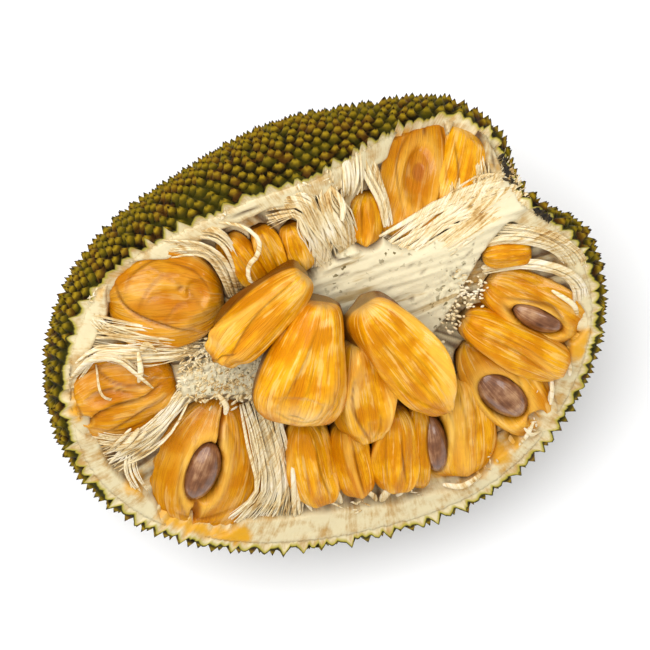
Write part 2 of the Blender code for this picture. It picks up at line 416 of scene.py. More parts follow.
lower_by_face(rind, -1)
bmesh.ops.bisect_plane(rind, geom=rind.verts[:] + rind.edges[:] + rind.faces[:], dist=1e-5,
                       plane_co=(0, 0, 0), plane_no=(0, 0, 1), clear_outer=True)
lower_by_face(rind, 1)
edge = [item for item in rind.edges if len(item.link_faces) == 1]
edge_layer = rind.verts.layers.float.new("edge")
for inset in RIM_STEPS:
    edge = carry_edge(rind, edge, lambda vert: inwards(vert, inset))
    for vert in {vert for item in edge for vert in item.verts}:
        vert[edge_layer] = vert[edge_layer] + inset
edge = carry_edge(rind, edge, lambda vert: vert.co * Vector((0.9, 0.9, 1)) - Vector((0, 0, BACK_DEPTH)))
bmesh.ops.holes_fill(rind, edges=edge, sides=0)
rind_points = places(rind)
spike_values, tone_values, edge_values = (
    np.array([vert[layer] for vert in rind.verts]) for layer in (spike_layer, tone_layer, edge_layer))
print("cut rind:", len(rind.faces), "faces")

# %% [markdown]
# Ripe rind is olive green, yellow-green on the spikes' flanks and scorched brown at their tips. The
# valleys between the spikes are painted near-black as shade. The stored `spike` value, 0 in a valley
# and 1 at a tip, picks the colour, and noise of two sizes breaks it up.
# %% The skin's finish
def skin_finish():
    finish = Finish("spiny_skin")
    place = finish.fruit_place()
    blotch = finish.noise(place, 26, 3)
    fine = finish.noise(place, 420, 3, 0.6)
    height = finish.value("spike") + (fine - 0.5) * 0.25
    # painted shade: the lowest stops paint the valleys between the spikes near-black
    spikes = finish.ramp(height, (0.08, "060300"), (0.26, "1A1002"), (0.45, "564204"),
                         (0.64, "9E8218"), (0.76, "826812"), (0.86, "180C02"))
    tone = finish.value("tone")
    colour = finish.layers(spikes, ((tone * 0.6 + blotch * 0.4).rise(0.4, 0.75) * 0.45, "4E4A0A"),
                           ((0.9 - tone).rise(0.5, 0.85) * 0.35, "6E4412"))
    bump = finish.bump(fine, 0.6, 0.0008)
    return finish.apply(Base_Color=colour, Roughness=0.6, Normal=bump, Specular_IOR_Level=0.05)


skin_material = skin_finish()

# %% [markdown]
# The cut through the rind shows its flesh: cream, with a narrow yellow-green band just under the skin.
# The same finish goes on the white bed inside, so that the two flow into each other.
# %% The white flesh's finish
def flesh_finish():
    finish = Finish("white_flesh")
    place = finish.fruit_place()
    wide = finish.noise(place, 42, 3)
    fine = finish.noise(place, 260, 4, 0.6)
    ray = finish.value("ray", vector=True)
    rays = finish.noise(finish.stretch(ray, (1, 0.12, 0)), 0.9, 3, 0.6)
    mottle = finish.noise(place, 120, 4, 0.6)
    tanned = (wide * 0.3 + rays * 0.25 + mottle * 0.45).rise(0.44, 0.62) * 0.85
    cream = finish.layers(rgb("D6C8A0"), (tanned, "AE8238"))
    edge = finish.value("edge") + (wide - 0.5) * 2.5
    under_skin = finish.mix(edge.rise(0.6, 3.4), rgb("A89A34"), cream)
    rim = finish.mix(edge.rise(0.1, 1.2), rgb("2E2A08"), under_skin)
    core = finish.value("core")
    grain = finish.noise(finish.stretch(place, (14, 90, 60)), 1.0, 4, 0.65, 0.4)
    marks = grain.rise(0.56, 0.68) * 0.75
    speck = finish.noise(place, 300, 2).rise(0.62, 0.68)
    stain = (finish.value("stain") * 1.6 + (mottle - 0.5) * 2 + (wide - 0.5) * 2).rise(0.3, 1.4)
    colour = finish.layers(rim, (core, "D9CDAA"), (core * marks, "A07C34"),
                           (finish.value("speck") * speck, "5A4A14"),
                           (stain * edge.rise(2.5, 8) * 0.9, "D69A08"),
                           # painted shade: the bed's pockets, fibre gaps, pits and cracks in dark brown
                           (finish.value("shade") * (0.75 + 0.5 * fine), "482606"))
    bump = finish.bump(fine * 0.6 + grain * core * 0.8, 0.6, 0.0012)
    return finish.apply(Base_Color=colour, Roughness=0.4, Normal=bump, Specular_IOR_Level=0.2,
                        Subsurface_Weight=0.04, Subsurface_Radius=(1.0, 0.7, 0.4), Subsurface_Scale=0.003)


flesh_material = flesh_finish()

# %% [markdown]
# Where a bulb has leaked or bled, the white flesh is stained yellow. The stains cross from the rim to the
# bed, so each spot's strength is worked out in the same way for both, and stored on their vertices.
# %% Stains and rays
def blob(points, spots):
    """1 near any of the spots (x, y, radius), fading to 0."""
    share = np.zeros(len(points))
    for x, y, radius in spots:
        share = np.maximum(share, hump(np.hypot(points[:, 0] - x, points[:, 1] - y), radius))
    return share


STAINED = (
    (-106, -58, 11), (-104, -68, 9), (-97, -76, 9), (-88, -82, 9), (-78, -86, 8), (-120, -32, 7),
    (34, -86, 7), (44, -90, 8), (54, -92, 8), (66, -88, 8), (77, -82, 7), (88, -74, 6), (99, -62, 6),
    (127, -34, 8), (122, -42, 7), (-92, 90, 8), (-106, 78, 7), (70, 92, 8), (-136, 20, 9),
)


def rays(points):
    """The angle around the core as mm at 100 mm, and the distance from it, for streaks that fan out."""
    x, y = points[:, 0] - 20, points[:, 1] - core_line(points[:, 0])
    return np.stack((np.arctan2(y, x * 0.8) * 100, np.hypot(x, y), 0 * x), 1)


settle("spiny_rind", rind, [skin_material, flesh_material], ["husk"],
       {"spike": spike_values, "tone": tone_values, "edge": edge_values, "ray": rays(rind_points),
        "stain": blob(rind_points, STAINED)})
print(len(STAINED), "stained spots")

# %% [markdown]
# ## The white bed
#
# Inside the rind lies a bed of white tissue: smooth at the rim, torn into fibres further in, and smooth
# again over the core. It is a fine level grid, moulded like clay: every rule adds to or takes from the
# height of the cut face at each point. The bulbs' places are measured from their solids, so that
# each sinks into a pocket with a dark gap around it.
# %% Measure the bulbs and seeds
class Seat:
    """Where a solid lies: its middle, its directions along, across and up, and half its sizes."""

    def __init__(self, name):
        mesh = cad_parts[name].data
        points = np.array([(INTO_FRUIT @ vert.co)[:] for vert in mesh.vertices])
        spread = np.cov((points - points.mean(axis=0)).T)
        along = np.linalg.eigh(spread)[1][:, 2]
        ends = [points[np.argmax(points @ along * sign)] for sign in (-1, 1)]
        is_loose = name.startswith("loose")
        from_core = [(-end[1] if is_loose else abs(end[1] - core_line(end[0]))) for end in ends]
        self.along = along if from_core[1] > from_core[0] else -along
        self.across = unit(np.cross((0, 0, 1), self.along))
        self.up = np.cross(self.along, self.across)
        self.axes = np.stack((self.along, self.across, self.up))
        local = points @ self.axes.T
        low, high = local.min(axis=0), local.max(axis=0)
        self.half = (high - low) / 2
        self.middle = ((high + low) / 2) @ self.axes

    def local(self, points):
        """Points as shares of the half sizes, counted from the middle."""
        return (points - self.middle) @ self.axes.T / self.half


seated = {name: Seat(name) for name in sorted(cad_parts) if name.startswith("bulb")}
loose = {name: Seat(name) for name in sorted(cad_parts) if name.startswith("loose")}
seeds = {name: Seat(name) for name in sorted(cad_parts) if name.startswith("seed")}
for name, seat in {**seated, **loose, **seeds}.items():
    print(name, "is", *(round(2 * size) for size in seat.half), "mm")

# %% Bed tools
def ripple(points, scale, seed=0.0):
    """Even noise from -1 to 1 at each point of the face."""
    return np.array([noise.noise(Vector((x * scale + seed, y * scale, seed))) for x, y in points[:, :2]])


def trail(corners, count):
    """Even points along a smooth curve through the corners, to a hair before the last one."""
    corners = np.asarray(corners, float)
    ends = np.vstack((2 * corners[0] - corners[1], corners, 2 * corners[-1] - corners[-2]))
    steps = np.linspace(0, len(corners) - 1.000001, count)
    at, t = steps.astype(int), (steps % 1)[:, None]
    a, b, c, d = ends[at], ends[at + 1], ends[at + 2], ends[at + 3]
    bent = (2 * a - 5 * b + 4 * c - d) * t ** 2 + (3 * b - a - 3 * c + d) * t ** 3
    return 0.5 * (2 * b + (c - a) * t + bent)


LINE_POINTS = 24
DROP_REACH = 14     # this far from a line a third of its drop is left


def furrow(plan, lines):
    """How deep and how dark lines of (corners, depth, width, drop) make each point. They run over the
    bulb from corner to corner, and the flesh to the left of each line lies lower by its drop."""
    down, dark = np.zeros(len(plan)), np.zeros(len(plan))
    for corners, deep, width, drop in lines:
        path = trail(corners, LINE_POINTS)
        starts, steps = path[:-1], np.diff(path, axis=0)
        offset = plan[:, None] - starts
        share = np.clip((offset * steps).sum(axis=2) / (steps ** 2).sum(axis=1), 0, 1)
        offset = offset - share[:, :, None] * steps
        distance = np.hypot(offset[:, :, 0], offset[:, :, 1])
        best = distance.argmin(axis=1)
        row = np.arange(len(plan))
        near, offset = distance[row, best], offset[row, best]
        left = np.sign(steps[best, 0] * offset[:, 1] - steps[best, 1] * offset[:, 0])
        passed = (best + share[row, best]) / (LINE_POINTS - 1)
        taper = np.sin(np.pi * np.clip(passed, 0.02, 0.98)) ** 0.5
        line = hump(near, width) * taper
        step = smooth(left * near / width / 2 + 0.5) * hump(near, DROP_REACH)
        down = down + deep * line + drop * taper * step
        dark = np.maximum(dark, line * min(1.0, deep * 0.8 + 0.1))
    return down, dark


def core_edge(x, side):
    """How far the smooth white core reaches from its middle line, above (1) or below (-1) it."""
    if side > 0:
        return 5 + 24 * hump(x - 25, 42) + 4 * smooth((x + 90) / 60)
    return 3 + 32 * hump(x - 52, 34) + 26 * hump(x + 20, 50)


CRUMBLY = (
    (-75, 19, 6), (-70, 14, 7), (-71, 8, 5), (-64, 26, 12), (-52, 20, 14), (-44, 6, 14), (-58, 8, 12),
    (-32, 14, 12), (72, 18, 11), (80, 12, 9), (66, 2, 10), (74, 26, 8),
)
SPECKED = (
    (58, 56, 14), (46, 52, 10), (78, 18, 20), (64, 6, 16), (20, 48, 12), (-52, 16, 30),
)
# corners across the face, then depth, width and drop in mm
CRACKS = [
    (((107, 67), (107, 62), (104, 57)), 5.0, 1.5, 0), (((110, 72), (109, 68)), 2.5, 0.8, 0),
    (((112, 67), (111, 64)), 2.0, 0.7, 0), (((-92, 86), (-104, 78)), 1.5, 0.8, 0),
    (((74, -86), (84, -72)), 3.0, 1.6, 0), (((66, -80), (76, -78)), 2.5, 1.2, 0),
    (((126, 18), (131, 8)), 1.2, 0.6, 0), (((122, 26), (128, 20)), 1.2, 0.6, 0),
    (((-136, 30), (-128, 44)), 1.2, 0.7, 0), (((16, 66), (18, 58), (26, 56)), 2.0, 0.9, 0),
    (((-26, 100), (-10, 101)), 1.2, 0.8, 0), (((34, 64), (46, 62)), 2.0, 0.8, 0),
]
for _ in range(26):
    cx = dice.uniform(-6, 92)
    cy = core_line(cx) + dice.uniform(-0.7, 0.9) * core_edge(cx, 1)
    length = dice.uniform(1.0, 5.0)
    end = (cx + length, cy + dice.uniform(0.1, 0.6) * length)
    CRACKS.append((((cx, cy), end), dice.uniform(0.4, 0.9), 0.6, 0))
BED_STEP = 0.95
POCKET_DEPTH = 11
SQUARENESS = 2.6    # 2 would make the pockets ellipses, and more squares them off
SKIRT = 18          # the bed's edge hangs this far down inside the rind
UNDER_FEET = 1.6    # and starts this far under the feet of the spikes
print(len(CRUMBLY), "crumbly spots,", len(SPECKED), "specked ones and", len(CRACKS), "cracks")

# %% Mould the bed
bed = bmesh.new()
bmesh.ops.create_grid(bed, size=1, x_segments=round(2 * HALF_LENGTH / BED_STEP),
                      y_segments=round(2 * HALF_WIDTH / BED_STEP))
bmesh.ops.scale(bed, verts=bed.verts, vec=(HALF_LENGTH, HALF_WIDTH, 1))
flat = places(bed)
depth = rind_depth(on_face(flat[:, 0], flat[:, 1]))
outside = [vert for vert, deep in zip(bed.verts, depth) if deep < UNDER_FEET]
bmesh.ops.delete(bed, geom=outside, context="VERTS")
flat = places(bed)
x, y = flat[:, 0], flat[:, 1]
points = on_face(x, y)
depth = rind_depth(points)

from_core = y - core_line(x)
past_core = np.abs(from_core) - np.where(from_core > 0, core_edge(x, 1), core_edge(x, -1))
core = 1 - smooth(past_core / 6 + 0.5)
core = core * smooth((x + 92) / 16)
rim_width = 10 + 7 * hump(x + 30, 45) * (y < 0) + 3 * ripple(flat, 0.06, 3)
bed_zone = smooth((depth - rim_width) / 4) * (1 - core)
ray = rays(flat)
fibres = np.array([noise.noise(Vector((turn * 0.28, out * 0.02, 4))) for turn, out, _ in ray])
streaks = np.array([noise.noise(Vector((px * 0.035, py * 0.32, 8))) for px, py in zip(x, y)])
crumbs = blob(flat, CRUMBLY)
rise = 0.6 * smooth((depth - UNDER_FEET) / 3) - 0.5
rise = rise - bed_zone * (6.0 + 3.0 * fibres) + core * (1.0 + 1.1 * streaks) * (1 - crumbs)
coarse = ripple(flat, 0.42, 2)
rise = rise + crumbs * (1.8 * coarse + 1.2 * ripple(flat, 0.9, 6) + 0.5)
rise = rise + 0.35 * ripple(flat, 0.35, 5) * (0.6 + bed_zone) + 0.5 * ripple(flat, 0.11, 1) * (1 - bed_zone)
print("bed before the pockets:", len(flat), "points")

# %% Cut its pockets and cracks
gap = np.zeros(len(flat))
for seat in seated.values():
    flat_axes = np.stack((unit(seat.along[:2]), unit(seat.across[:2])))
    local = (flat[:, :2] - seat.middle[:2]) @ flat_axes.T
    along, across = (local / (seat.half[:2] * 0.98 + 1.0)).T
    reach = (np.abs(along) ** SQUARENESS + np.abs(across) ** SQUARENESS) ** (1 / SQUARENESS)
    gap = np.maximum(gap, 1 - smooth((reach - 0.86) / 0.2))
rise = rise - POCKET_DEPTH * gap * smooth(depth / 6)
# painted shade: the pockets around the bulbs, the gaps between fibres, the pits among the crumbs and the
# cracks are darkened
dark = np.clip(gap * 1.1, 0, 1) * 0.9
dark = np.maximum(dark, bed_zone * np.clip(0.3 - fibres * 1.6, 0, 0.85))
dark = np.maximum(dark, crumbs * np.clip(-1.8 * coarse - 0.25, 0, 0.7))
cut_in, cut_dark = furrow(flat[:, :2], CRACKS)
dark = np.maximum(dark, cut_dark * 0.9)
points[:, 2] += rise - cut_in
move_to(bed, points)
bed_edge = [item for item in bed.edges if len(item.link_faces) == 1]
bed_edge = carry_edge(bed, bed_edge, lambda vert: vert.co + Vector((0, 0, -SKIRT)))
bmesh.ops.holes_fill(bed, edges=bed_edge, sides=0)
for face in bed.faces:
    face.material_index = 0


def pad(numbers):
    """The bed's numbers, with zeros for the vertices of its skirt."""
    return np.concatenate((numbers, np.zeros((len(bed.verts) - len(flat), *numbers.shape[1:]))))


settle("white_bed", bed, [flesh_material], ["husk"],
       {"edge": pad(np.maximum(UNDER_FEET, depth + FOOT - 0.8)), "shade": pad(dark), "core": pad(core),
        "stain": pad(blob(flat, STAINED)), "speck": pad(blob(flat, SPECKED)), "ray": pad(ray)})

# %% [markdown]
# ## The bulbs
#
# A bulb is a fleshy bag that grew round a seed, squeezed by its neighbours, so it has lengthwise
# folds that run together at both ends. Each starts as a sphere whose poles are the bulb's two ends:
# the sphere's meridians then are the lengths along which flesh folds and shines. Where a point was
# on the sphere says how far along (s), across (w) and up (v) it is, and everything is shaped by these.
# %% Sphere to bulb
AROUND, ALONG = 128, 92
GRAIN_ALONG = 0.3       # lengths along a bulb count this much in its grain, which draws it out


def spread_over(s, shares):
    """A smooth curve through shares given at even steps from the base (-1) to the tip (1)."""
    return np.polyval(np.polyfit(np.linspace(-1, 1, len(shares)), shares, len(shares) - 1), s)


def grain_noise(points, seed):
    return np.array([noise.noise(Vector(point) + Vector((seed, -seed, 2 * seed))) for point in points])


PLAIN = {
    "left": (1, 1, 1), "right": (1, 1, 1),      # the half widths along each side
    "browning": 1.0,                            # how far an opened top has gone brown
    "bend": (0, 0, 0),                          # how far the middle line swings sideways
    "blunt": (2.3, 2.5),                        # how square the base and the tip are
    "boxy": 1.0,                                # below 1 the top is flatter and the sides steeper
    "crown": (1, 1, 1),                         # the height along the bulb
    "folds": 0.05,                              # how deep the broad folds are
    "mouths": (),                               # s, w, half length, half width, depth, lip in mm, darkness
    "facets": (6, 1.0, 12),                     # sides, how flat (hollow past 1), twist in degrees
    "nub": 0.0,                                 # a pinched end, in mm
    "neck": 0.0,                                # how much narrower it is just before that end
}


# %% Facets
SHARPNESS = 16      # how sharp the edges between two flat sides are


def facet_reach(turn, s, count, flatness, twist, seed):
    """How far the skin is from the middle line when neighbours have pressed flat sides on the bulb."""
    press = np.zeros(len(turn))
    for side in range(count):
        lean = 360 * (side + 0.55 * noise.noise(Vector((seed, side * 1.7, 0)))) / count
        reach = 1 + 0.12 * noise.noise(Vector((side * 2.3, seed, 5)))
        lean = lean + twist * s + 14 * np.sin(2.2 * s + side + seed)
        press = press + np.maximum(0, np.cos(np.radians(turn - lean)) / reach) ** SHARPNESS
    return 1 + (press ** (-1 / SHARPNESS) - 1.04) * flatness


corner = facet_reach(np.array([36.0]), np.zeros(1), 5, 1, 0, 1)[0]
print("a corner between two of five sides reaches", round(float(corner), 2), "of the radius")

# %% Shape a bulb
def bulb_form(seat, shape, seed):
    """A sphere shaped into a bulb. Returns it with its points in mm along, across and up its seat."""
    rule = {**PLAIN, **shape}
    bm = bmesh.new()
    bmesh.ops.create_uvsphere(bm, u_segments=AROUND, v_segments=ALONG, radius=1)
    ball = places(bm)
    s = ball[:, 2]
    ring = np.maximum(1e-6, np.hypot(ball[:, 0], ball[:, 1]))
    w, v = ball[:, 0] / ring, ball[:, 1] / ring
    power = np.where(s < 0, rule["blunt"][0], rule["blunt"][1])
    girth = np.maximum(0, 1 - np.abs(s) ** power) ** (1 / power)
    girth = girth * (1 - rule["neck"] * hump(s - 0.8, 0.1))

    turn = np.degrees(np.arctan2(v, w))
    facets = facet_reach(turn, s, *rule["facets"], seed)
    fine = np.abs(grain_noise(np.stack((w * 3.5, v * 3.5, s * 0.8), 1), seed + 5)) * 1.6 - 0.4
    # how far a ridge stands out, for the painted highlight along it
    fold = (facets - 1) * 7 + fine * 0.6
    swell = 1 + (rule["folds"] * fine * 0.6 + facets - 1) * smooth(girth * 2)

    side = np.where(w < 0, spread_over(s, rule["left"]), spread_over(s, rule["right"]))
    across = spread_over(s, rule["bend"]) + w * girth * side * swell
    height = np.sign(v) * np.abs(v) ** np.where(v > 0, rule["boxy"], 1.0) * girth
    height = height * spread_over(s, rule["crown"]) * swell
    along = s + hump(girth, 0.2) * rule["nub"] / seat.half[0] * (s > 0)

    hollow, lip = np.zeros(len(s)), np.zeros(len(s))
    top = smooth(v * 3)
    local = np.stack((along, across, height), 1) * seat.half
    for mouth_s, mouth_w, long, wide, depth, rim, darkness in rule["mouths"]:
        reach = np.sqrt(((s - mouth_s) / long) ** 2 + ((across - mouth_w) / wide) ** 2)
        open_here = 1 - smooth((reach - 0.62) / 0.5)
        edge = hump(reach - 1.22, 0.24)
        local[:, 2] += (edge * rim - open_here * depth) * top
        hollow = np.maximum(hollow, open_here * top * darkness)
        lip = np.maximum(lip, edge * top * min(1.0, rim))
    local[:, 2] = np.where(v > 0, np.maximum(local[:, 2], -0.5 * seat.half[2] * girth), local[:, 2])
    values = {"grain": np.stack((w, v, s * GRAIN_ALONG), 1), "fold": np.clip(fold / 1.6, -1, 1),
              "hollow": hollow, "lip": lip, "top": top,
              "opened": top * (len(rule["mouths"]) > 0) * rule["browning"],
              # how low on its side a point is, for the painted shade on the lower flanks
              "flank": 1 - smooth((height + 0.15) / 0.75), "base": smooth((-0.96 - s) / 0.04)}
    return bm, local, values


# %% [markdown]
# A drawing gets its place in one of two ways. A bulb that still sits in its pocket was cut or pressed
# level with its neighbours, so it is laid along the cut face and kept inside the rind. A loose bulb or
# a seed lies as its solid does, on its own three axes.
# %% Lay a bulb in its place
INSIDE_RIND = 5     # flesh stays this far inside the feet of the spikes


def lay_in_face(seat, local, sink, values, lines):
    """Set a bulb's drawing in the cut face: it follows the face, sink mm below it."""
    flat_along, flat_across = unit(seat.along * (1, 1, 0)), unit(seat.across * (1, 1, 0))
    plan = seat.middle + local[:, :1] * flat_along + local[:, 1:2] * flat_across
    points = on_face(plan[:, 0], plan[:, 1])
    down, dark = furrow(plan[:, :2], lines)
    # painted shade: the lines are darkened as deep as they are cut
    values["crease"] = dark * values["top"]
    points[:, 2] += local[:, 2] - sink - down * values["top"]
    allowed = skin(unit(points)) - FOOT - INSIDE_RIND
    points = unit(points) * np.minimum(np.linalg.norm(points, axis=1), allowed)[:, None]
    # painted shadow: a dark ring around each seed where it sits in the flesh
    for seed in seeds.values():
        reach = np.linalg.norm(seed.local(points), axis=1)
        values["crease"] = np.maximum(values["crease"], 1 - smooth((reach - 1.02) / 0.16))
    return points


def lay_in_space(seat, local, values, lines=()):
    """Set a bulb's or seed's drawing on its own axes. Its lines are in mm along and across it."""
    down, dark = furrow(local[:, :2], lines)
    values["crease"] = dark * values["top"]
    lowered = local - np.stack((0 * down, 0 * down, down * values["top"]), 1)
    return seat.middle + lowered @ seat.axes


# %% [markdown]
# Ripe flesh is a deep yellow-orange with paler lengthwise streaks, which also stand in for its
# highlights, so they are partly its own colour and partly painted highlight. Its ridges are painted
# lighter as highlight, and its creases, lower flanks and the line where it meets the bed darker as
# shade. It is moist enough to shine. Light enters it and comes out again, so it has some subsurface
# scattering. The streaks follow the stored `grain`, which runs along each bulb however that is bent.
# %% The bulbs' finish
def bulb_finish():
    finish = Finish("bulb_flesh")
    grain = finish.value("grain", vector=True)
    place = finish.fruit_place()
    broad = finish.noise(finish.stretch(grain, (1, 1, 0.8)), 2.4, 2)
    streak = finish.noise(finish.stretch(grain, (1, 1, 0.35)), 9, 3, 0.6)
    hair = finish.noise(finish.stretch(grain, (1, 1, 0.2)), 34, 2, 0.6)
    patch = finish.noise(place, 70, 3)
    flank = finish.value("flank")
    colour = finish.layers(
        rgb("D48500"),
        ((broad * 0.5 + patch * 0.5).rise(0.42, 0.58), "EEAA08"),
        # pale streaks: partly the flesh's own streaks, partly painted highlight
        ((streak * 0.65 + patch * 0.35).rise(0.53, 0.59) * 0.55, "F8CC74"),
        (hair.rise(0.54, 0.68) * 0.5, "B86400"),
        # painted highlight: ridges between the flat sides are lightened
        (finish.value("fold").rise(0.2, 0.8) * 0.4, "FBC658"),
        # painted shade: the lower flanks are darkened
        (flank * 0.45, "B25C00"),
        (finish.value("opened") * (0.1 + 0.7 * broad), "A65E00"),
        (finish.value("lip") * 0.5, "F6C658"),
        (finish.value("hollow") * (0.45 + 0.6 * patch), "9A4C00"),
        # painted shade in the creases and around the seeds
        (finish.value("crease") * 0.8, "6A3200"),
        # painted shadow: a dark outline where the bulb meets the bed
        (flank.rise(0.68, 0.92) * 0.8, "4E2400"),
        (finish.value("base") * 0.2, "F2D58A"))
    bump = finish.bump(streak * 0.8 + hair * 0.4 + patch * 0.7, 0.8, 0.0018)
    return finish.apply(Base_Color=colour, Roughness=0.4, Normal=bump, Specular_IOR_Level=0.08,
                        Coat_Weight=0.15 + patch.rise(0.45, 0.6) * 0.4, Coat_Roughness=0.1,
                        Subsurface_Weight=0.03, Subsurface_Radius=(1.0, 0.5, 0.15), Subsurface_Scale=0.003)


bulb_material = bulb_finish()

# %% [markdown]
# The bulbs still in their pockets differ in how the knife and their neighbours left them. Some were
# opened, so their top is flat with a hollow, and others are whole. Their sizes and places come from
# the solids, and each rule below only says what sets that bulb apart.
# %% Seated bulbs
SHAPES = {
    "bulb_tail_folded": dict(
        boxy=0.5, folds=0.05, facets=(7, 0.7, 20), left=(0.9, 1.25, 1.32, 1.05),
        right=(0.9, 1.34, 1.5, 1.2), blunt=(2.6, 3.0),
        mouths=((0.15, -0.2, 0.5, 0.16, 1.8, 0.3, 0.35), (0.78, 0.3, 0.1, 0.16, 9, 0.5, 1))),
    "bulb_upper_opened": dict(
        boxy=0.4, folds=0.02, facets=(5, 0.8, 8), blunt=(2.6, 2.6), left=(0.75, 1.14, 1.14, 0.85),
        right=(0.7, 0.84, 0.9, 0.85),
        mouths=((0.1, -0.05, 0.5, 0.42, 1.4, 0.3, 0.3), (-0.5, -0.3, 0.2, 0.3, 1.5, 0.2, 0.25))),
    "bulb_shoulder_pitted": dict(
        boxy=0.35, folds=0.01, facets=(6, 0.6, 8), blunt=(3.2, 3.0), left=(1.0, 1.12, 1.05),
        right=(1.1, 1.15, 1.1),
        mouths=((0.1, -0.1, 0.4, 0.5, 4.0, 0.5, 0.45), (0.12, -0.1, 0.16, 0.22, 1.2, 0.0, 1.0))),
    "bulb_shoulder_neighbour": dict(crown=(0.4, 1, 1.05), left=(0.8, 1.1, 1.2), right=(0.8, 1.1, 1.2)),
    "bulb_stalk_arched": dict(
        browning=0.5, boxy=0.6, folds=0.04, blunt=(3.2, 3.0), left=(1.0, 1.05, 1.05),
        right=(1.05, 1.15, 1.1), mouths=((0.15, -0.25, 0.55, 0.45, 9, 1.2, 1.0),)),
    "bulb_side_hooked": dict(
        browning=0.3, boxy=0.6, folds=0.04, blunt=(2.6, 3.0),
        mouths=((0.1, -0.25, 0.5, 0.58, 10, 1.4, 0.9), (0.74, 0.1, 0.14, 0.3, 10, 0.0, 1))),
    "bulb_low_seeded": dict(
        browning=0.1, boxy=0.65, folds=0.04, blunt=(2.8, 3.2), left=(1, 1, 1), right=(0.95, 1.08, 1.08),
        mouths=((0.05, -0.85, 0.58, 0.45, 12, 1.0, 0.9),)),
    "bulb_low_split": dict(
        boxy=0.5, folds=0.05, facets=(8, 0.7, 0), blunt=(2.6, 2.8), left=(0.8, 1.12, 1.2, 1.02),
        right=(0.8, 1.16, 1.2, 1.02),
        mouths=((0.02, -0.12, 0.48, 0.36, 11, 2.0, 0.8), (-0.6, 0.02, 0.35, 0.06, 7, 1.0, 0.9),
                (0.66, -0.12, 0.18, 0.1, 5, 0.3, 1))),
    "bulb_low_3": dict(bend=(0, 0, 0.3)),
    "bulb_stalk_whole": dict(
        boxy=0.6, folds=0.02, blunt=(4, 5.5), left=(1.0, 1.1, 1.15, 1.15, 1.1),
        right=(1.0, 1.1, 1.12, 1.1, 1.05)),
}
SLIM_SIDE = (0.85, 1.08, 1.14, 1.12, 0.95)
SLIM = dict(folds=0.03, facets=(6, 1.0, 10), blunt=(3.4, 4.2), boxy=0.75, left=SLIM_SIDE, right=SLIM_SIDE)
